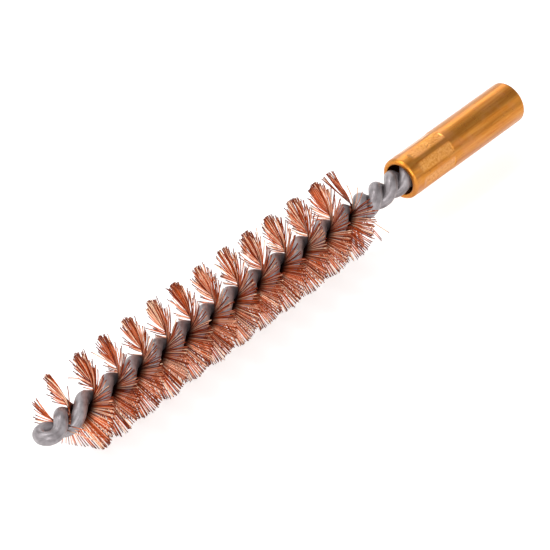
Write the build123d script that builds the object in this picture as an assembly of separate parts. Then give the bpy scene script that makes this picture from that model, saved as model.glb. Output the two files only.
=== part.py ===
"""Tube brush with a twisted wire stem, phosphor-bronze filaments and a crimped brass ferrule.

One steel wire is folded in half, its bend left open as a small eye, and its two legs are
twisted together left-handed. The filaments are straight wires held between the legs: each
passes through the axis and stands out on both sides, so the twist turns them into a double
spiral. The ferrule is a turned sleeve, crimped on the stem with eight flats and tapped at
the rear for a rod.

Frame: origin at the centre of the ferrule's rear face, where the tapped hole opens. +X
points out of that hole along the axis, the brush lies along -X, and +Z is up. Millimetres.
"""

from build123d import *
from math import cos, pi, radians, sin, tan
import os

# Ferrule
ferrule_diameter = 8.0
ferrule_length = 31.0
thread_bore_diameter = 5.0  # tapping size of an M6 thread
thread_bore_length = 12.0
stem_bore_diameter = 5.8  # in front of the crimp and behind it
mouth_rim_length = 2.6  # round rim in front of the crimp
mouth_rim_radius = 0.7
rear_edge_radius = 0.5
crimp_length = 8.6
crimp_flats = 8
crimp_depth = 0.12

# Stem wire
wire_diameter = 2.5
leg_clearance = 0.04  # between the bare legs
grip_clearance = 0.05  # between the legs and the crimped bore
end_clearance = 1.0  # between the wire's cut ends and the tapped bore
bare_stem_length = 11.3
eye_bend_radius = 1.45
eye_neck_length = 2.4

# Twist, left-handed along +X
filled_lay_length = 12.35
bare_lay_length = 8.6
twist_change_length = 6.5  # over which the twist tightens at each end of the bristles
twist_change_lag = 0.6  # how much of that lies past the bristles at the ferrule's end
legs_closing_length = 4.0
middle_filament_angle = 109.0  # degrees from +Y towards +Z, halfway along the bristles

# Filaments
brush_diameter = 17.0
filament_diameter = 0.17
filament_clearance = 0.03
filament_spacing = 0.218
filaments_per_tuft = 15
tuft_count = 24

# Centreline of the legs: straight runs joined by tangent arcs, so many corners to a turn
corners_per_turn = 6
arc_share = 0.46  # of the shorter run beside a corner
angle_step_length = 0.25  # over which the twist is summed

# Places along the axis
filament_count = filaments_per_tuft * tuft_count
mouth_x = -ferrule_length
brush_rear_x = mouth_x - bare_stem_length
brush_front_x = brush_rear_x - filament_spacing * (filament_count - 1)
brush_middle_x = (brush_front_x + brush_rear_x) / 2
eye_x = brush_front_x - eye_neck_length
stem_end_x = -(thread_bore_length + end_clearance)

# Radii
leg_radius_filled = wire_diameter / 2 + filament_diameter / 2 + filament_clearance
leg_radius_bare = wire_diameter / 2 + leg_clearance / 2
grip_bore_radius = leg_radius_bare + wire_diameter / 2 + grip_clearance


def ramp(x, start, end):
    """0 before start, 1 after end, and a smooth rise between them."""
    t = min(max((x - start) / (end - start), 0), 1)
    return t * t * (3 - 2 * t)


def twist_rate(x):
    """Degrees of twist per mm: tighter where no filaments hold the legs apart, none at the eye."""
    tight_x = brush_rear_x + twist_change_lag
    tightening = max(
        ramp(x, tight_x - twist_change_length, tight_x),
        1 - ramp(x, brush_front_x, brush_front_x + twist_change_length),
    )
    rate = 360 / filled_lay_length + tightening * (360 / bare_lay_length - 360 / filled_lay_length)
    return rate * ramp(x, eye_x, eye_x + eye_neck_length)


def filament_angle(x):
    """Direction of the gap between the legs at x, in degrees from +Y towards +Z."""
    steps = max(1, round(abs(x - brush_middle_x) / angle_step_length))
    step = (x - brush_middle_x) / steps
    turned = sum(twist_rate(brush_middle_x + step * (i + 0.5)) for i in range(steps)) * step
    return middle_filament_angle - turned


def leg_radius(x):
    """Distance from the axis to a leg's centreline."""
    closed = ramp(x, brush_rear_x, brush_rear_x + legs_closing_length)
    opened = 1 - ramp(x, eye_x, eye_x + eye_neck_length)
    radius = leg_radius_filled + closed * (leg_radius_bare - leg_radius_filled)
    return radius + opened * (eye_bend_radius - radius)


def corner_places():
    """Places along the axis, from the wire's cut ends to the eye's neck, one for each corner."""
    places = [stem_end_x]
    while places[-1] > eye_x + eye_neck_length:
        places.append(places[-1] - 360 / corners_per_turn / twist_rate(places[-1]))
    return places


def leg_points(side):
    """Corners of one leg's centreline, from its cut end to the eye. side is +1 or -1.

    The arcs cut inside the corners, so these stand out by the polygon's own ratio. The cut
    end is halfway along the first run, which lies at the leg's true radius.
    """
    stand_out = 1 / cos(pi / corners_per_turn)
    points = []
    for x in corner_places():
        angle = radians(filament_angle(x) + 90 * side)
        radius = leg_radius(x) * stand_out
        points.append(Vector(x, radius * cos(angle), radius * sin(angle)))
    points[0] = (points[0] + points[1]) / 2
    return points


def eye_points():
    """Corners of the bend between the two legs: half of a hexagon round the eye."""
    angle = radians(filament_angle(eye_x) + 90)
    corner_radius = eye_bend_radius / cos(radians(30))
    points = []
    for turn in (0, 60, 120, 180):
        reach = corner_radius * cos(radians(turn))
        x = eye_x - corner_radius * sin(radians(turn))
        points.append(Vector(x, reach * cos(angle), reach * sin(angle)))
    return points


def corner_radii(points):
    """The largest arc that each corner's two runs have room for."""
    lengths = [(end - start).length for start, end in zip(points, points[1:])]
    lengths[0] *= 2  # an end run has an arc at one of its ends only
    lengths[-1] *= 2
    radii = []
    for i in range(1, len(points) - 1):
        turn = (points[i] - points[i - 1]).get_angle(points[i + 1] - points[i])
        radii.append(arc_share * min(lengths[i - 1], lengths[i]) / tan(radians(turn / 2)))
    return radii


def make_stem_wire():
    corners = [*leg_points(1), *eye_points(), *reversed(leg_points(-1))]
    centreline = FilletPolyline(*corners, radius=corner_radii(corners))
    section = Plane(origin=centreline @ 0, z_dir=centreline % 0) * Circle(wire_diameter / 2)
    return sweep(section, path=centreline)


def make_filament(x):
    across = radians(filament_angle(x))
    direction = Vector(0, cos(across), sin(across))
    start = Vector(x, 0, 0) - direction * (brush_diameter / 2)
    return Solid.make_cylinder(filament_diameter / 2, brush_diameter, Plane(origin=start, z_dir=direction))


def make_tuft(index):
    first = index * filaments_per_tuft
    places = [brush_front_x + filament_spacing * (first + i) for i in range(filaments_per_tuft)]
    return Compound([make_filament(x) for x in places])


def round_bar(radius, start_x, end_x):
    """Cylinder along X between two places."""
    return Solid.make_cylinder(radius, end_x - start_x, Plane(origin=(start_x, 0, 0), z_dir=(1, 0, 0)))


def make_ferrule():
    body = Part() + round_bar(ferrule_diameter / 2, mouth_x, 0)
    rear_edge = body.edges().sort_by(Axis.X)[-1]
    front_edge = body.edges().sort_by(Axis.X)[0]
    body = fillet(rear_edge, rear_edge_radius)
    front_edge = body.edges().sort_by(Axis.X)[0]
    body = fillet(front_edge, mouth_rim_radius)

    crimp_x = mouth_x + mouth_rim_length
    crimp_rear_x = crimp_x + crimp_length
    flat_distance = ferrule_diameter / 2 - crimp_depth
    flat = Box(crimp_length, ferrule_diameter, ferrule_diameter, align=(Align.MIN, Align.CENTER, Align.MIN))
    for i in range(crimp_flats):
        body -= Rot(X=360 * i / crimp_flats) * Pos(crimp_x, 0, flat_distance) * flat

    body -= round_bar(stem_bore_diameter / 2, mouth_x, crimp_x)
    body -= round_bar(grip_bore_radius, crimp_x, crimp_rear_x)
    body -= round_bar(stem_bore_diameter / 2, crimp_rear_x, -thread_bore_length)
    body -= round_bar(thread_bore_diameter / 2, -thread_bore_length, 0)
    return body


def main():
    os.makedirs("parts", exist_ok=True)
    export_step(make_stem_wire(), "parts/stem_wire.step")
    export_step(make_ferrule(), "parts/ferrule.step")
    for index in range(tuft_count):
        export_step(make_tuft(index), f"parts/bristle_tuft_{index + 1:02d}.step")


main()
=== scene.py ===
import random
from math import cos, degrees, exp, pi, radians, sin, tan

import bpy
import numpy as np
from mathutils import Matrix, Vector


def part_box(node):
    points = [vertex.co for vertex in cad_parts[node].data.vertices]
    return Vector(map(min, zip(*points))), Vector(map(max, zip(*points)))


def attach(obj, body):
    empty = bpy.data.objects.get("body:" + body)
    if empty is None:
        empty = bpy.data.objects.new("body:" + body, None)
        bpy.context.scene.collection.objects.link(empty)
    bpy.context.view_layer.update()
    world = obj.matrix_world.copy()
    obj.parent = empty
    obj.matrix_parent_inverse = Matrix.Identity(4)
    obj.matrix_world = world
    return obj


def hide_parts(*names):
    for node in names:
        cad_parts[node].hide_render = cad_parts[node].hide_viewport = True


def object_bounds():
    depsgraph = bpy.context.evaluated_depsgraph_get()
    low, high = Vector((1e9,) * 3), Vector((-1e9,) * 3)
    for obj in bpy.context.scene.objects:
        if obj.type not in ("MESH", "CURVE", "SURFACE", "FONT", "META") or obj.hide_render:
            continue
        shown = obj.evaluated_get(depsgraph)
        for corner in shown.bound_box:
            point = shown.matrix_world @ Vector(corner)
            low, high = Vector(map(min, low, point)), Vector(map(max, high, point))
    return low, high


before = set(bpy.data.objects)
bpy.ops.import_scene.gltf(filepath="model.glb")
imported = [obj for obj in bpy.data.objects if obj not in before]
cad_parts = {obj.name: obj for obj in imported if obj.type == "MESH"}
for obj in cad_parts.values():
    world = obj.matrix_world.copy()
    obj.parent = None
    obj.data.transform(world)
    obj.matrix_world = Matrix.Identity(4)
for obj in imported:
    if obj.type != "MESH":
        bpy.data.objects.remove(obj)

# Dressing of a tube brush: a twisted wire stem, bronze filaments and a crimped brass ferrule.
# The brush lies along -X from the tapped hole in the ferrule's rear face. Sizes are in
# metres. The places come from the frame, and MM writes a size in millimetres.

MM = 0.001
cad_box = [list(corner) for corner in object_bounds()]

# Stem wire
wire_radius = 1.25 * MM
wire_sides = 24
leg_radius_bare = 1.27 * MM
leg_radius_filled = 1.365 * MM
leg_step = 0.3 * MM  # from one ring of the legs to the next
eye_bend_radius = 1.45 * MM
eye_bend_step = 10  # degrees from one ring of the eye to the next
eye_neck_length = 2.4 * MM
legs_closing_length = 4.0 * MM
cut_clearance = 0.4 * MM  # the cut ends stay this far inside the solid's

# Twist, left-handed along +X
filled_lay_length = 12.35 * MM
bare_lay_length = 8.6 * MM
twist_change_length = 6.5 * MM  # over which the twist tightens at each end of the bristles
twist_change_lag = 0.6 * MM  # how much of that lies past the bristles at the ferrule's end
middle_filament_angle = radians(109)  # from +Y towards +Z, halfway along the bristles
angle_step_length = 0.25 * MM  # over which the twist is summed

# Filaments
tuft_count = 24
filament_radius = 0.085 * MM
filament_sides = 6
filaments_per_tuft = 52
half_points = 7  # on each half of a filament, from the axis to the tip
trim_radius = 7.8 * MM
trim_offset = 0.65 * MM  # the trimmed round stands this far off the stem's axis
trim_tilt = 0.4 * MM  # and runs out by this much more at the ferrule's end, less at the eye's
longest_reach = 8.43 * MM
place_range = (0.1, 0.9)  # where in its own spacing each one stands
missing_filaments = 22  # that would have stood at the eye's end
thinning_filaments = 16  # over which that end fills up again
dark_tone, tone_step, tone_spread = 0.18, 0.54, 0.23  # every second one is brighter by the step

# Bends that use and handling have set in the filaments. They are bent most on the brush's
# upper side, and angles round the axis are degrees past that side's middle.
upper_side = radians(39)  # from +Y towards +Z
held_share = 0.12  # of a half filament, held straight by the legs
bend_power = 1.3  # how the bend grows from there to the tip
clump_sizes = (3, 4, 5, 7, 9, 12)
clump_pulls = (0, 0, 0.05, 0.1, 0.25)  # how far a clump closes on its middle
gathers = (0.05, 0.25, 0.45, 0.6, 0.65)  # how far filaments close on the upper side's middle
survivor_gather = 0.62  # those gathered more than this outlast their neighbours
gather_full_angle, gather_end_angle = 50, 90  # those up to the first angle close that far
lean_spread = radians(1.6)  # along the axis, of a clump and again of each filament
turn_spread = radians(2)  # round the axis, likewise
stray_share = 0.04
stray_lean = (5, 12)  # degrees
stray_turn = radians(8)
reach_spread = 0.16 * MM
eye_gap_start, eye_gap_end = 45, 125  # the angles of a gap beside the eye
eye_gap_end_opened = 165  # to which those just past the gap have been turned
eye_gap_closing = 0.8  # how far those before the gap have closed on the upper side's middle
eye_gap_length, eye_gap_fade = 3.4, 0.8  # mm
upper_disorder, lower_disorder = 1.0, 0.6  # the lower side is the neater one
eye_tidiness = 0.6  # and neater still beside the eye

# Leans towards the ferrule, of those that point up or down
upper_lean = radians(7.5)
upper_lean_at_eye = radians(-4)
upper_lean_at_ferrule = radians(-6)
lower_lean_at_eye = radians(32)
lower_lean_at_ferrule = radians(-4)
survivor_lean_at_ferrule = radians(8)

# Broken filaments: the end of the bristles that they stand at, the angles and the gathers
# between which they lie, how many mm from that end the damage reaches and over how many it
# fades, and the share of a filament's reach that is gone
breaks = (
    ("eye", (-90, 0), (0.0, 1.0), 1.0, 1.0, 0.25),
    ("eye", (-180, -90), (0.3, 1.0), 1.0, 1.0, 0.25),
    ("eye", (-180, -90), (0.0, 0.3), 4.0, 0.5, 0.7),
    ("eye", (eye_gap_start, eye_gap_end), (0.0, 1.0), 2.8, 0.6, 0.8),
    ("eye", (eye_gap_end, 180), (0.5, 1.0), 2.8, 0.6, 0.8),
    ("eye", (eye_gap_end, 180), (0.0, 0.3), 0.6, 0.3, 0.8),
    ("ferrule", (20, 80), (0.0, survivor_gather), 2.6, 0.3, 0.82),
    ("ferrule", (140, 180), (0.0, survivor_gather), 1.0, 0.3, 0.7),
    ("ferrule", (-180, -140), (0.0, survivor_gather), 1.0, 0.3, 0.7),
)

# Ferrule
ferrule_radius = 4.0 * MM
ferrule_sides = 192
stem_bore_radius = 2.9 * MM
grip_bore_radius = 2.57 * MM
thread_bore_radius = 2.5 * MM
thread_bore_length = 12.0 * MM
thread_pitch = 1.0 * MM
thread_depth = 0.45 * MM
thread_run_out = 1.5 * MM
thread_chamfer = 0.6 * MM
mouth_rim_length = 2.6 * MM
mouth_rim_radius = 0.7 * MM
mouth_rim_squeeze = 0.06 * MM  # the crimp has drawn the rim in by this
mouth_lip_radius = 0.3 * MM  # inside the mouth
rear_edge_radius = 0.5 * MM
crimp_length = 8.6 * MM
crimp_flats = 8
crimp_depth = 0.17 * MM
crimp_turn = radians(2)
crimp_front_rise, crimp_rear_rise = 0.5 * MM, 0.2 * MM  # half the length of each end's slope

# Studio
tent_light = 0.4  # how strongly the tent lights, where it looks white
openings = (  # direction, angle within which it is dim, angle beyond which it is white, level
    ((0.59, -0.22, 0.77), radians(14), radians(31), 0.5),
    ((0.6, -0.8, 0.0), radians(5), radians(18), 0.65),
    ((0.93, 0.25, 0.2), radians(10), radians(26), 0.3),
)
floor_glow = 0.5
floor_half_width = 1.5
softboxes = (  # name, direction, distance, width, level
    ("key", (-0.6, 0.5, 0.62), 0.6, 0.42, 2.0),
    ("front", (-0.74, -0.5, 0.42), 0.6, 0.12, 5.0),
    ("fill", (-0.58, -0.5, 0.64), 0.7, 0.35, 4.0),
    ("top", (-0.05, 0.46, 0.89), 0.6, 0.22, 6.0),
    ("back", (0.57, 0.62, 0.48), 0.7, 0.25, 1.9),
    ("right", (-0.3, -0.9, 0.3), 0.7, 0.3, 1.6),
    ("glint", (0.6, -0.65, 0.47), 0.7, 0.14, 0.7),
)

# Places along the axis
first_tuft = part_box("bristle_tuft_01")
last_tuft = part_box(f"bristle_tuft_{tuft_count:02d}")
brush_front_x = first_tuft[0].x + filament_radius
brush_rear_x = last_tuft[1].x - filament_radius
brush_middle_x = (brush_front_x + brush_rear_x) / 2
eye_x = brush_front_x - eye_neck_length
mouth_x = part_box("ferrule")[0].x
crimp_x = mouth_x + mouth_rim_length
crimp_rear_x = crimp_x + crimp_length
stem_end_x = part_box("stem_wire")[1].x - cut_clearance
floor_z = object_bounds()[0].z


def ramp(x, start, end):
    """0 before start, 1 after end, and a smooth rise between them."""
    t = min(max((x - start) / (end - start), 0), 1)
    return t * t * (3 - 2 * t)


def fading(distance, length, fade):
    """1 up to a length, and a smooth fall to 0 over a further one."""
    return 1 - ramp(distance, length, length + fade)


def twist_rate(x):
    """Radians of twist per metre."""
    tight_x = brush_rear_x + twist_change_lag
    tightening = max(
        ramp(x, tight_x - twist_change_length, tight_x),
        1 - ramp(x, brush_front_x, brush_front_x + twist_change_length),
    )
    rate = 2 * pi / filled_lay_length
    rate += tightening * (2 * pi / bare_lay_length - 2 * pi / filled_lay_length)
    return rate * ramp(x, eye_x, eye_x + eye_neck_length)


def filament_angle(x):
    """Direction of the gap between the legs at x, from +Y towards +Z."""
    steps = max(1, round(abs(x - brush_middle_x) / angle_step_length))
    step = (x - brush_middle_x) / steps
    turned = sum(twist_rate(brush_middle_x + step * (i + 0.5)) for i in range(steps)) * step
    return middle_filament_angle - turned


def leg_radius(x):
    """Distance from the axis to a leg's centreline."""
    closed = ramp(x, brush_rear_x, brush_rear_x + legs_closing_length)
    opened = 1 - ramp(x, eye_x, eye_x + eye_neck_length)
    radius = leg_radius_filled + closed * (leg_radius_bare - leg_radius_filled)
    return radius + opened * (eye_bend_radius - radius)


# Meshes


def smooth_object(name, vertices, faces):
    mesh = bpy.data.meshes.new(name)
    mesh.from_pydata([tuple(v) for v in vertices], [], faces)
    mesh.shade_smooth()
    mesh.update()
    piece = bpy.data.objects.new(name, mesh)
    bpy.context.scene.collection.objects.link(piece)
    return piece


def add_attribute(piece, name, values):
    """Gives each vertex a number, or a vector where values holds three numbers for each."""
    is_vector = len(values) > len(piece.data.vertices)
    layer = piece.data.attributes.new(name, "FLOAT_VECTOR" if is_vector else "FLOAT", "POINT")
    layer.data.foreach_set("vector" if is_vector else "value", np.array(values, np.float32))


def tube_rings(path, radius, sides):
    """Rings of vertices round a path, turned as little as possible from one to the next."""
    path = [Vector(p) for p in path]
    side = None
    rings = []
    for i, point in enumerate(path):
        ahead = (path[min(i + 1, len(path) - 1)] - path[max(i - 1, 0)]).normalized()
        if side is None:
            side = ahead.orthogonal().normalized()
        side = (side - ahead * side.dot(ahead)).normalized()
        other = ahead.cross(side)
        turns = [2 * pi * k / sides for k in range(sides)]
        rings.append([point + (side * cos(turn) + other * sin(turn)) * radius for turn in turns])
    return rings


def skin(rings, start):
    """Quads between successive closed rings, with both ends capped. start is the first index."""
    sides = len(rings[0])
    faces = []
    for r in range(len(rings) - 1):
        for k in range(sides):
            a = start + r * sides + k
            b = start + r * sides + (k + 1) % sides
            faces.append((a, b, b + sides, a + sides))
    last = start + (len(rings) - 1) * sides
    faces.append(tuple(start + k for k in reversed(range(sides))))
    faces.append(tuple(last + k for k in range(sides)))
    return faces


# Stem wire


def stem_path():
    """Centreline of the wire: one leg, the eye's bend, and the other leg."""
    count = round((stem_end_x - eye_x) / leg_step)
    legs = {}
    for side in (1, -1):
        legs[side] = []
        for i in range(count + 1):
            x = stem_end_x + (eye_x - stem_end_x) * i / count
            angle = filament_angle(x) + side * pi / 2
            legs[side].append((x, leg_radius(x) * cos(angle), leg_radius(x) * sin(angle)))
    angle = filament_angle(eye_x) + pi / 2
    bend = []
    for turn in range(eye_bend_step, 180, eye_bend_step):
        reach = eye_bend_radius * cos(radians(turn))
        x = eye_x - eye_bend_radius * sin(radians(turn))
        bend.append((x, reach * cos(angle), reach * sin(angle)))
    return legs[1] + bend + legs[-1][::-1]


def make_stem_wire():
    """The wire's tube. Its attribute drawn is the vertex's place on the wire as if straight."""
    path = stem_path()
    rings = tube_rings(path, wire_radius, wire_sides)
    vertices = [v for ring in rings for v in ring]
    piece = smooth_object("stem_wire_twisted", vertices, skin(rings, 0))
    drawn = []
    length = 0
    for i in range(len(path)):
        length += (Vector(path[i]) - Vector(path[i - 1])).length if i else 0
        for k in range(wire_sides):
            turn = 2 * pi * k / wire_sides
            drawn += [length, wire_radius * cos(turn), wire_radius * sin(turn)]
    add_attribute(piece, "drawn", drawn)
    return piece


# Filaments


def plan_ends(places, rng):
    """Lean, turn, clump's middle, pull to it, gather and extra reach of each half filament."""
    ends = []
    while len(ends) < len(places):
        members = places[len(ends):len(ends) + rng.choice(clump_sizes)]
        middle = members[len(members) // 2]
        lean = rng.gauss(0, lean_spread)
        turn = rng.gauss(0, turn_spread)
        pull = rng.choice(clump_pulls)
        for _ in members:
            own_lean = lean + rng.gauss(0, lean_spread)
            own_turn = turn + rng.gauss(0, turn_spread)
            if rng.random() < stray_share:
                own_lean += rng.choice((-1, 1)) * radians(rng.uniform(*stray_lean))
                own_turn += rng.gauss(0, stray_turn)
            gathered = rng.choice(gathers)
            ends.append((own_lean, own_turn, middle, pull, gathered, rng.gauss(0, reach_spread)))
    return ends


def worn_turn(past_upper, from_eye, gathered):
    """Degrees that a filament is turned round the axis, to the upper side or out of the gap."""
    beside_eye = fading(from_eye, eye_gap_length, eye_gap_fade)
    closing = 1 - ramp(abs(past_upper), gather_full_angle, gather_end_angle)
    turned = -past_upper * gathered * closing
    if 0 < past_upper < eye_gap_start:
        turned -= eye_gap_closing * past_upper * beside_eye * (1 - gathered)
    elif eye_gap_end <= past_upper < eye_gap_end_opened:
        turned += (eye_gap_end_opened - past_upper) * beside_eye
    return turned


def worn_lean(direction, from_eye, from_ferrule, gathered):
    """Lean towards the ferrule. direction is in degrees past the upper side.

    The lean that is particular to an end of the bristles holds for the first length in mm
    from that end, and fades over the second.
    """
    upwards = max(0, cos(radians(direction)))
    downwards = max(0, -cos(radians(direction)))
    lower_lean = survivor_lean_at_ferrule if gathered > survivor_gather else lower_lean_at_ferrule
    lean = upper_lean * upwards * ramp(from_eye, 4, 10) * ramp(from_ferrule, 2, 5)
    lean += upper_lean_at_eye * upwards * fading(from_eye, 4, 2)
    lean += upper_lean_at_ferrule * upwards * fading(from_ferrule, 3, 1.5)
    lean += lower_lean * downwards * fading(from_ferrule, 2, 2)
    lean += lower_lean_at_eye * downwards * fading(from_eye, 3, 2)
    return lean


def reach_left(past_upper, from_eye, from_ferrule, gathered):
    """Share of the reach that is left to a filament, less than 1 where it is broken off."""
    left = 1
    for end, angles, gather_range, length, fade, lost in breaks:
        if angles[0] <= past_upper < angles[1] and gather_range[0] <= gathered < gather_range[1]:
            left -= lost * fading(from_eye if end == "eye" else from_ferrule, length, fade)
    return left


def filament_half(x, around, end):
    """Points of one half of a filament, from near the axis to its tip."""
    lean, turn, middle, pull, gathered, extra = end
    from_eye = (x - brush_front_x) / MM
    from_ferrule = (brush_rear_x - x) / MM
    past_upper = (degrees(around - upper_side) + 180) % 360 - 180
    turned = worn_turn(past_upper, from_eye, gathered)
    leaned = worn_lean(past_upper + turned, from_eye, from_ferrule, gathered)
    left = reach_left(past_upper, from_eye, from_ferrule, gathered)

    upwards = cos(around - upper_side)
    disorder = (upper_disorder + lower_disorder + upwards * (upper_disorder - lower_disorder)) / 2
    if upwards < 0:
        disorder *= 1 - eye_tidiness * fading(from_eye, 4, 1)
    along = (x - brush_middle_x) / (brush_rear_x - brush_middle_x)
    trim = trim_radius + (trim_offset + trim_tilt * along) * upwards
    reach = min(trim + extra, longest_reach) * left
    to_middle = filament_angle(middle) - filament_angle(x)
    points = []
    for i in range(1, half_points + 1):
        s = i / half_points
        bend = max(0, s - held_share) ** bend_power
        pulled = pull * disorder * s
        angle = around + (turn * disorder + radians(turned)) * bend + to_middle * pulled
        shift = reach * tan(lean * disorder + leaned) * bend + (middle - x) * pulled
        points.append((x + shift, reach * s * cos(angle), reach * s * sin(angle)))
    return points


def plan_filaments():
    """Centrelines of all the filaments, tip to tip through the axis, from the eye's end on."""
    rng = random.Random(4)
    count = tuft_count * filaments_per_tuft
    spacing = (brush_rear_x - brush_front_x) / (count + missing_filaments)
    places = []
    for i in range(count):
        missing = missing_filaments * (1 - exp(-i / thinning_filaments))
        places.append(brush_front_x + spacing * (i + missing + rng.uniform(*place_range)))
    first_ends, second_ends = plan_ends(places, rng), plan_ends(places, rng)
    paths = []
    for x, first_end, second_end in zip(places, first_ends, second_ends):
        around = filament_angle(x)
        first = filament_half(x, around, first_end)
        second = filament_half(x, around + pi, second_end)
        paths.append(first[::-1] + [(x, 0, 0)] + second)
    return paths


def make_tuft(index, paths):
    """A tuft's filaments. Its attributes are each vertex's share of the way from the axis to
    the tip, and the filament's tone, dark and bright by turns and a little at random.
    """
    rng = random.Random(index)
    vertices, faces, along, shade = [], [], [], []
    for i, path in enumerate(paths):
        rings = tube_rings(path, filament_radius, filament_sides)
        faces += skin(rings, len(vertices))
        tone = min(max(dark_tone + tone_step * (i % 2) + rng.gauss(0, tone_spread), 0), 1)
        for r, ring in enumerate(rings):
            vertices += ring
            along += [abs(r - half_points) / half_points] * filament_sides
            shade += [tone] * filament_sides
    piece = smooth_object(f"bristles_{index + 1:02d}", vertices, faces)
    add_attribute(piece, "along", along)
    add_attribute(piece, "shade", shade)
    return piece


# Ferrule


def crimp_dent(x, turn):
    """How far the crimp presses the ferrule's round inwards at this place."""
    inside = min(
        ramp(x, crimp_x - crimp_front_rise, crimp_x + crimp_front_rise),
        1 - ramp(x, crimp_rear_x - crimp_rear_rise, crimp_rear_x + crimp_rear_rise),
    )
    period = 2 * pi / crimp_flats
    off_centre = (turn - pi / 2 - crimp_turn + period / 2) % period - period / 2
    flat_radius = (ferrule_radius - crimp_depth) / cos(off_centre)
    return inside * max(0, ferrule_radius - flat_radius)


def rounded(steps):
    """Sine and cosine at even steps through a quarter turn, from 0 to 90 degrees."""
    angles = [radians(90 * i / steps) for i in range(steps + 1)]
    return [(sin(angle), cos(angle)) for angle in angles]


def bore_profile():
    """(x, radius, part) of the bore that holds the stem, from its rear to the mouth's lip."""
    profile = [
        (stem_end_x - 1.5 * MM, stem_bore_radius),  # on the straight wall behind the crimp
        (crimp_rear_x, stem_bore_radius),
        (crimp_rear_x - 0.3 * MM, grip_bore_radius),
        (crimp_x + 0.6 * MM, grip_bore_radius),
        (crimp_x, stem_bore_radius - 0.1 * MM),
        (mouth_x + 0.5 * MM, stem_bore_radius),
    ]
    for s, c in rounded(4):
        radius = stem_bore_radius + mouth_lip_radius * (1 - c)
        profile.append((mouth_x + mouth_lip_radius * (1 - s), radius))
    return [(x, radius, "bore") for x, radius in profile]


def outer_profile():
    """(x, radius, part) from the mouth's rim to the rear face, closer at the crimp's rear end."""
    profile = []
    for s, c in rounded(6):
        radius = ferrule_radius - mouth_rim_squeeze - mouth_rim_radius * (1 - s)
        profile.append((mouth_x + mouth_rim_radius * (1 - c), radius, "rim"))
    start_x = mouth_x + mouth_rim_radius + 0.2 * MM
    slope_x = crimp_rear_x - 1.5 * crimp_rear_rise
    plain_x = crimp_rear_x + 1.5 * crimp_rear_rise
    end_x = -rear_edge_radius - 0.1 * MM
    runs = ((start_x, slope_x, 50), (slope_x, plain_x, 12), (plain_x, end_x, 30))
    for from_x, to_x, count in runs:
        for i in range(count):
            profile.append((from_x + (to_x - from_x) * i / count, ferrule_radius, "outside"))
    profile.append((end_x, ferrule_radius, "outside"))
    for s, c in rounded(6):
        radius = ferrule_radius - rear_edge_radius * (1 - c)
        profile.append((-rear_edge_radius * (1 - s), radius, "rear"))
    return profile


def thread_profile():
    """(x, radius, part) from the rear face to the inner end of the tapped bore."""
    chamfered_radius = thread_bore_radius + thread_chamfer
    profile = [(0, chamfered_radius + 0.15 * MM, "rear"), (0, chamfered_radius, "rear")]
    count = round(thread_bore_length / thread_pitch * 10)
    for i in range(count + 1):
        profile.append((-thread_bore_length * i / count, thread_bore_radius, "thread"))
    profile.append((-thread_bore_length, stem_bore_radius, "bore"))
    return profile


def ferrule_wall(x, radius, part, turn):
    """The radius of the ferrule's wall at x and turn, with its dents and its thread."""
    if part == "outside":
        squeezed = 1 - ramp(x, crimp_x - 1 * MM, crimp_x)
        return radius - crimp_dent(x, turn) - mouth_rim_squeeze * squeezed
    if part == "thread":
        phase = (x / thread_pitch - turn / (2 * pi)) % 1
        cut = ramp(x, -thread_bore_length, -thread_bore_length + thread_run_out)
        depth = thread_depth * (1 - abs(2 * phase - 1)) * cut
        return radius + max(depth, thread_chamfer + x, 0)
    return radius


def make_ferrule():
    """The turned sleeve. Its attribute crimped is how deep each vertex is pressed, up to 1."""
    profile = bore_profile() + outer_profile() + thread_profile()
    vertices, faces, crimped = [], [], []
    for x, radius, part in profile:
        for k in range(ferrule_sides):
            turn = 2 * pi * k / ferrule_sides
            wall = ferrule_wall(x, radius, part, turn)
            vertices.append((x, wall * cos(turn), wall * sin(turn)))
            crimped.append(crimp_dent(x, turn) / crimp_depth if part == "outside" else 0)
    rows = len(profile)
    for r in range(rows):
        for k in range(ferrule_sides):
            a, b = r * ferrule_sides + k, r * ferrule_sides + (k + 1) % ferrule_sides
            next_row = (r + 1) % rows * ferrule_sides
            faces.append((a, b, next_row + (k + 1) % ferrule_sides, next_row + k))
    piece = smooth_object("ferrule_turned", vertices, faces)
    add_attribute(piece, "crimped", crimped)
    return piece


# Materials


def colour(code):
    """Linear RGBA of an sRGB hex code."""
    parts = [int(code[i:i + 2], 16) / 255 for i in (1, 3, 5)]
    return tuple(c / 12.92 if c <= 0.04045 else ((c + 0.055) / 1.055) ** 2.4 for c in parts) + (1,)


def add_node(tree, kind, settings=None, links=None):
    """Adds a node, sets its properties or input values by name, and links sockets into it."""
    node = tree.nodes.new(kind)
    for name, value in (settings or {}).items():
        if isinstance(name, str) and hasattr(node, name):
            setattr(node, name, value)
        else:
            node.inputs[name].default_value = value
    for name, source in (links or {}).items():
        tree.links.new(source, node.inputs[name])
    return node


def new_material(name):
    material = bpy.data.materials.new(name)
    material.use_nodes = True
    tree = material.node_tree
    tree.nodes.clear()
    return material, tree


def finish_material(tree, settings, links):
    """Adds the shader with these settings and links, and the material's output."""
    shader = add_node(tree, "ShaderNodeBsdfPrincipled", settings, links)
    add_node(tree, "ShaderNodeOutputMaterial", None, {"Surface": shader.outputs["BSDF"]})


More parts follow.
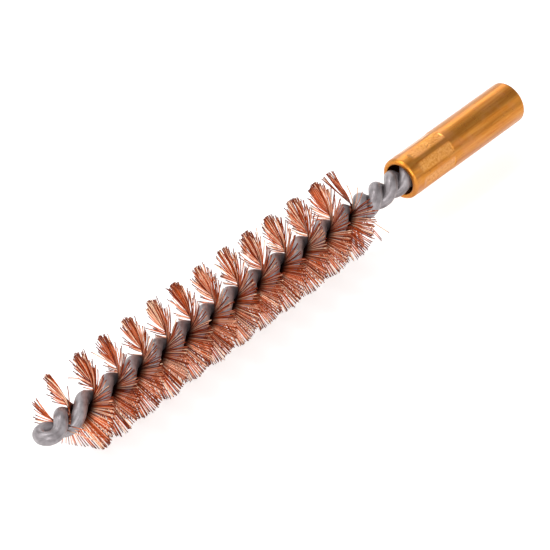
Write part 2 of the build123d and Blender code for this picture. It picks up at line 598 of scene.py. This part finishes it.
def galvanised_steel():
    """Hot-dip galvanised drawn wire: dull grey zinc, cloudy, with faint marks along the wire.

    The marks are about 0.5 mm wide and eight times as long, the clouds 1.7 mm and the grain
    0.3 mm. A noise's scale is so many features to a metre.
    """
    material, tree = new_material("galvanised_steel_drawn")
    place = add_node(tree, "ShaderNodeTexCoord")
    drawn = add_node(tree, "ShaderNodeAttribute", {"attribute_name": "drawn"})
    stretch = add_node(
        tree, "ShaderNodeMapping", {"Scale": (0.12, 1.0, 1.0)}, {"Vector": drawn.outputs["Vector"]},
    )
    marks = add_node(
        tree, "ShaderNodeTexNoise", {"Scale": 2.2 / MM, "Detail": 3.0},
        {"Vector": stretch.outputs["Vector"]},
    )
    cloud = add_node(
        tree, "ShaderNodeTexNoise", {"Scale": 0.6 / MM, "Detail": 4.0},
        {"Vector": place.outputs["Object"]},
    )
    grain = add_node(
        tree, "ShaderNodeTexNoise", {"Scale": 3.5 / MM, "Detail": 3.0},
        {"Vector": place.outputs["Object"]},
    )
    mixed = add_node(
        tree, "ShaderNodeMath", {"operation": "MULTIPLY_ADD", 1: 0.5},
        {0: marks.outputs["Fac"], 2: cloud.outputs["Fac"]},
    )
    spread = add_node(
        tree, "ShaderNodeMapRange", {"From Min": 0.55, "From Max": 0.95},
        {"Value": mixed.outputs["Value"]},
    )
    tint = add_node(
        tree, "ShaderNodeMix",
        {"data_type": "RGBA", "A": colour("#746d6f"), "B": colour("#a8a1a4")},
        {"Factor": spread.outputs["Result"]},
    )
    rough = add_node(
        tree, "ShaderNodeMapRange", {"To Min": 0.26, "To Max": 0.46},
        {"Value": cloud.outputs["Fac"]},
    )
    relief = add_node(
        tree, "ShaderNodeMath", {"operation": "ADD"},
        {0: marks.outputs["Fac"], 1: grain.outputs["Fac"]},
    )
    bump = add_node(
        tree, "ShaderNodeBump", {"Strength": 0.4, "Distance": 0.04 * MM},
        {"Height": relief.outputs["Value"]},
    )
    finish_material(
        tree, {"Metallic": 0.4},
        {
            "Base Color": tint.outputs["Result"], "Roughness": rough.outputs["Result"],
            "Normal": bump.outputs["Normal"],
        },
    )
    return material


def phosphor_bronze():
    """Drawn phosphor-bronze filament: bright copper orange, paler or browner on some.

    It darkens at the cut tips, a little sooner on the dark filaments, and towards the axis it
    has painted shade for the dark between the crowded roots.
    """
    material, tree = new_material("phosphor_bronze_drawn")
    along = add_node(tree, "ShaderNodeAttribute", {"attribute_name": "along"})
    shade = add_node(tree, "ShaderNodeAttribute", {"attribute_name": "shade"})
    body = add_node(tree, "ShaderNodeValToRGB", None, {"Fac": shade.outputs["Fac"]})
    body.color_ramp.elements.new(0.45)
    for stop, code in zip(body.color_ramp.elements, ("#782408", "#d4622a", "#ffd8b8")):
        stop.color = colour(code)
    worn = add_node(
        tree, "ShaderNodeMapRange", {"To Min": 0.1, "To Max": -0.05},
        {"Value": shade.outputs["Fac"]},
    )
    reached = add_node(
        tree, "ShaderNodeMath", {"operation": "ADD"},
        {0: along.outputs["Fac"], 1: worn.outputs["Result"]},
    )
    cut = add_node(
        tree, "ShaderNodeMapRange", {"From Min": 0.87, "From Max": 1.0},
        {"Value": reached.outputs["Value"]},
    )
    tipped = add_node(
        tree, "ShaderNodeMix", {"data_type": "RGBA", "B": colour("#702a12")},
        {"Factor": cut.outputs["Result"], "A": body.outputs["Color"]},
    )
    # Painted shade: near the axis the colour darkens to near black, for the shade between the
    # crowded roots.
    root = add_node(
        tree, "ShaderNodeMapRange", {"From Min": 0.45, "From Max": 0.2},
        {"Value": along.outputs["Fac"]},
    )
    tint = add_node(
        tree, "ShaderNodeMix", {"data_type": "RGBA", "B": colour("#320a04")},
        {"Factor": root.outputs["Result"], "A": tipped.outputs["Result"]},
    )
    rough = add_node(
        tree, "ShaderNodeMapRange", {"To Min": 0.3, "To Max": 0.45},
        {"Value": shade.outputs["Fac"]},
    )
    finish_material(
        tree, {"Metallic": 0.9},
        {"Base Color": tint.outputs["Result"], "Roughness": rough.outputs["Result"]},
    )
    return material


def drawn_brass():
    """Drawn brass bar, handled and lightly tarnished under a thin film, with a soft sheen.

    Streaks 0.4 mm wide run along it, pink patches are about 3.5 mm across, and the pits are
    0.4 mm. On the flats the colour is lighter in speckles: partly high spots that the die
    rubbed bright, partly a painted highlight for the flats' reflection.
    """
    material, tree = new_material("brass_drawn_bar")
    place = add_node(tree, "ShaderNodeTexCoord")
    crimped = add_node(tree, "ShaderNodeAttribute", {"attribute_name": "crimped"})
    stretch = add_node(
        tree, "ShaderNodeMapping", {"Scale": (0.06, 1.0, 1.0)}, {"Vector": place.outputs["Object"]},
    )
    streaks = add_node(
        tree, "ShaderNodeTexNoise", {"Scale": 2.6 / MM, "Detail": 3.0},
        {"Vector": stretch.outputs["Vector"]},
    )
    patches = add_node(
        tree, "ShaderNodeTexNoise", {"Scale": 0.28 / MM, "Detail": 5.0},
        {"Vector": place.outputs["Object"]},
    )
    pits = add_node(
        tree, "ShaderNodeTexNoise", {"Scale": 2.4 / MM, "Detail": 4.0},
        {"Vector": place.outputs["Object"]},
    )

    streaked = add_node(
        tree, "ShaderNodeMapRange", {"From Min": 0.3, "From Max": 0.7},
        {"Value": streaks.outputs["Fac"]},
    )
    tint = add_node(
        tree, "ShaderNodeMix",
        {"data_type": "RGBA", "A": colour("#ba6c14"), "B": colour("#cc8834")},
        {"Factor": streaked.outputs["Result"]},
    )
    pink = add_node(
        tree, "ShaderNodeMapRange", {"From Min": 0.5, "From Max": 0.7, "To Max": 0.5},
        {"Value": patches.outputs["Fac"]},
    )
    blushed = add_node(
        tree, "ShaderNodeMix", {"data_type": "RGBA", "B": colour("#cc8650")},
        {"Factor": pink.outputs["Result"], "A": tint.outputs["Result"]},
    )
    brown = add_node(
        tree, "ShaderNodeMapRange", {"From Min": 0.36, "From Max": 0.28, "To Max": 0.7},
        {"Value": pits.outputs["Fac"]},
    )
    pitted = add_node(
        tree, "ShaderNodeMix", {"data_type": "RGBA", "B": colour("#8f5220")},
        {"Factor": brown.outputs["Result"], "A": blushed.outputs["Result"]},
    )

    # The flats are lightened in speckles: partly real rubbing by the die, partly a painted
    # highlight that stands in for the flats' bright reflection.
    pressed = add_node(
        tree, "ShaderNodeMapRange", {"From Max": 0.7}, {"Value": crimped.outputs["Fac"]},
    )
    speckles = add_node(
        tree, "ShaderNodeMapRange",
        {"From Min": 0.4, "From Max": 0.6, "To Min": 0.12, "To Max": 0.5},
        {"Value": pits.outputs["Fac"]},
    )
    rubbed = add_node(
        tree, "ShaderNodeMath", {"operation": "MULTIPLY"},
        {0: pressed.outputs["Result"], 1: speckles.outputs["Result"]},
    )
    rubbed_and_painted_highlight = add_node(
        tree, "ShaderNodeMix", {"data_type": "RGBA", "B": colour("#f4b468")},
        {"Factor": rubbed.outputs["Value"], "A": pitted.outputs["Result"]},
    )

    rough = add_node(
        tree, "ShaderNodeMapRange", {"To Min": 0.2, "To Max": 0.4},
        {"Value": patches.outputs["Fac"]},
    )
    press = add_node(
        tree, "ShaderNodeMath", {"operation": "MULTIPLY_ADD", 1: 7.0, 2: 0.4},
        {0: crimped.outputs["Fac"]},
    )
    mottle = add_node(
        tree, "ShaderNodeMath", {"operation": "MULTIPLY"},
        {0: pits.outputs["Fac"], 1: press.outputs["Value"]},
    )
    height = add_node(
        tree, "ShaderNodeMath", {"operation": "ADD"},
        {0: streaks.outputs["Fac"], 1: mottle.outputs["Value"]},
    )
    bump = add_node(
        tree, "ShaderNodeBump", {"Strength": 0.25, "Distance": 0.03 * MM},
        {"Height": height.outputs["Value"]},
    )
    finish_material(
        tree, {"Metallic": 1.0, "Coat Weight": 0.25, "Coat Roughness": 0.3},
        {
            "Base Color": rubbed_and_painted_highlight.outputs["Result"], "Roughness": rough.outputs["Result"],
            "Normal": bump.outputs["Normal"],
        },
    )
    return material


# Stage


def add_seen(tree):
    """1 for rays that show a thing, also in a reflection, and 0 for those that only light it."""
    path = add_node(tree, "ShaderNodeLightPath")
    seen = add_node(
        tree, "ShaderNodeMath", {"operation": "MAXIMUM"},
        {0: path.outputs["Is Camera Ray"], 1: path.outputs["Is Glossy Ray"]},
    )
    seen = add_node(
        tree, "ShaderNodeMath", {"operation": "MAXIMUM"},
        {0: seen.outputs["Value"], 1: path.outputs["Is Transmission Ray"]},
    )
    return seen.outputs["Value"]


def make_floor():
    """White sweep: white to the eye and in reflections, and it still takes the brush's shadow."""
    material, tree = new_material("floor_white")
    glow = add_node(
        tree, "ShaderNodeMath", {"operation": "MULTIPLY", 1: floor_glow}, {0: add_seen(tree)},
    )
    finish_material(
        tree,
        {"Base Color": colour("#f4f3f2"), "Roughness": 0.9, "Emission Color": (1, 1, 1, 1)},
        {"Emission Strength": glow.outputs["Value"]},
    )
    corners = [
        (x * floor_half_width, y * floor_half_width, floor_z)
        for x, y in ((-1, -1), (1, -1), (1, 1), (-1, 1))
    ]
    floor = smooth_object("floor", corners, [(0, 1, 2, 3)])
    floor.data.materials.append(material)


def make_world():
    """White tent with three dim openings: overhead, low at its right side and past the ferrule."""
    world = bpy.data.worlds.new("studio")
    bpy.context.scene.world = world
    world.use_nodes = True
    tree = world.node_tree
    tree.nodes.clear()
    place = add_node(tree, "ShaderNodeTexCoord")
    share = add_node(
        tree, "ShaderNodeMapRange", {"To Min": tent_light, "To Max": 1.0},
        {"Value": add_seen(tree)},
    )
    strength = share.outputs["Result"]
    for direction, inner, outer, level in openings:
        facing = add_node(
            tree, "ShaderNodeVectorMath",
            {"operation": "DOT_PRODUCT", 1: Vector(direction).normalized()},
            {0: place.outputs["Generated"]},
        )
        dimmed = add_node(
            tree, "ShaderNodeMapRange",
            {
                "interpolation_type": "SMOOTHSTEP", "From Min": cos(outer), "From Max": cos(inner),
                "To Min": 1.0, "To Max": level,
            },
            {"Value": facing.outputs["Value"]},
        )
        both = add_node(
            tree, "ShaderNodeMath", {"operation": "MULTIPLY"},
            {0: strength, 1: dimmed.outputs["Result"]},
        )
        strength = both.outputs["Value"]
    background = add_node(
        tree, "ShaderNodeBackground", {"Color": (1, 1, 1, 1)}, {"Strength": strength},
    )
    add_node(tree, "ShaderNodeOutputWorld", None, {"Surface": background.outputs["Background"]})


def add_softbox(name, direction, distance, width, level):
    """Square softbox shining at the brush's middle. At level 1 its face looks white."""
    middle = (Vector(cad_box[0]) + Vector(cad_box[1])) / 2
    data = bpy.data.lights.new(name, "AREA")
    data.size = width
    data.energy = level * pi * width ** 2
    lamp = bpy.data.objects.new(name, data)
    bpy.context.scene.collection.objects.link(lamp)
    back = Vector(direction).normalized()
    lamp.location = middle + back * distance
    lamp.rotation_mode = "QUATERNION"
    lamp.rotation_quaternion = back.to_track_quat("Z", "Y")


def make_camera():
    """Long lens from the eye's end, above and to the side of the brush."""
    azimuth, elevation = radians(49.38), radians(38.32)
    distance = 857 * MM
    aim = Vector((-60 * MM, 0, 0))
    off_centre = 3.2 * MM  # the aimed-at place stands this far right of the middle and above it
    level = Vector((sin(azimuth), cos(azimuth), 0))
    forward = level * cos(elevation) - Vector((0, 0, sin(elevation)))
    right = Vector((cos(azimuth), -sin(azimuth), 0))
    up = right.cross(forward)
    data = bpy.data.cameras.new("camera")
    data.sensor_width = 36
    data.lens = 322
    data.clip_start, data.clip_end = 0.01, 20
    camera = bpy.data.objects.new("camera", data)
    bpy.context.scene.collection.objects.link(camera)
    camera.location = aim - forward * distance - (right + up) * off_centre
    camera.rotation_mode = "QUATERNION"
    camera.rotation_quaternion = (-forward).to_track_quat("Z", "Y")
    bpy.context.scene.camera = camera


def dress():
    wire = make_stem_wire()
    wire.data.materials.append(galvanised_steel())
    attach(wire, "root")
    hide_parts("stem_wire")

    ferrule = make_ferrule()
    ferrule.data.materials.append(drawn_brass())
    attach(ferrule, "root")
    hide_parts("ferrule")

    bronze = phosphor_bronze()
    paths = plan_filaments()
    for index in range(tuft_count):
        first = index * filaments_per_tuft
        tuft = make_tuft(index, paths[first:first + filaments_per_tuft])
        tuft.data.materials.append(bronze)
        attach(tuft, "root")
        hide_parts(f"bristle_tuft_{index + 1:02d}")


make_camera()
make_world()
make_floor()
for softbox in softboxes:
    add_softbox(*softbox)
dress()
bpy.context.scene.view_settings.view_transform = "Standard"
